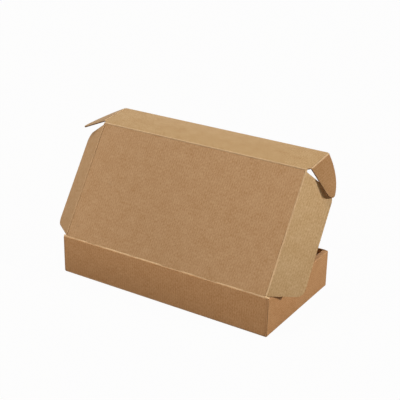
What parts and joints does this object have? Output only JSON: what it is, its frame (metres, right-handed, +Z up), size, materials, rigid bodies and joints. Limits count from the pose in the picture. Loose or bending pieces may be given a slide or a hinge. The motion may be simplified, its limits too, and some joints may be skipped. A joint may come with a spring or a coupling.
{
  "type": "corrugated mailer box",
  "caption": "Plain kraft corrugated mailer with rolled end walls and a creased lid, standing open, for posting small goods.",
  "frame": {"origin": "middle of the tray's underside", "axes": "+X along the box to its right end as seen from the front, +Y to the rear wall with the lid's crease, +Z up"},
  "size_m": [0.3774, 0.1596, 0.1924],
  "materials": {
    "kraft_board": "matt brown kraft liner with fine fibres"
  },
  "bodies": {
    "tray": {"tray": "kraft_board"},
    "lid": {"lid_panel": "kraft_board"},
    "front_flap": {"front_flap": "kraft_board"},
    "end_flap_left": {"lid_end_flap_left": "kraft_board"},
    "end_flap_right": {"lid_end_flap_right": "kraft_board"},
    "ear_left": {"front_flap_ear_left": "kraft_board"},
    "ear_right": {"front_flap_ear_right": "kraft_board"}
  },
  "joints": [
    {"name": "lid_crease", "type": "hinge", "parent": "tray", "child": "lid", "pos_m": [0, 0.07895, 0.0524], "axis": [-1, 0, 0], "range_deg": [0, 123.6]},
    {"name": "front_flap_crease", "type": "hinge", "parent": "lid", "child": "front_flap", "pos_m": [0, -0.00937, 0.18533], "axis": [-1, 0, 0], "range_deg": [0, 49.5]},
    {"name": "end_flap_right_crease", "type": "hinge", "parent": "lid", "child": "end_flap_right", "pos_m": [0.1508, 0.07895, 0.0524], "axis": [0, -0.5534, 0.8329], "range_deg": [-22, 36]},
    {"name": "end_flap_left_crease", "type": "hinge", "parent": "lid", "child": "end_flap_left", "pos_m": [-0.1508, 0.07895, 0.0524], "axis": [0, 0.5534, -0.8329], "range_deg": [-6, 0]},
    {"name": "ear_right_crease", "type": "hinge", "parent": "front_flap", "child": "ear_right", "pos_m": [0.1549, -0.00937, 0.18533], "axis": [0, -0.9928, 0.1201], "range_deg": [-13, 24]},
    {"name": "ear_left_crease", "type": "hinge", "parent": "front_flap", "child": "ear_left", "pos_m": [-0.1549, -0.00937, 0.18533], "axis": [0, 0.9928, -0.1201], "range_deg": [0, 54]}
  ]
}
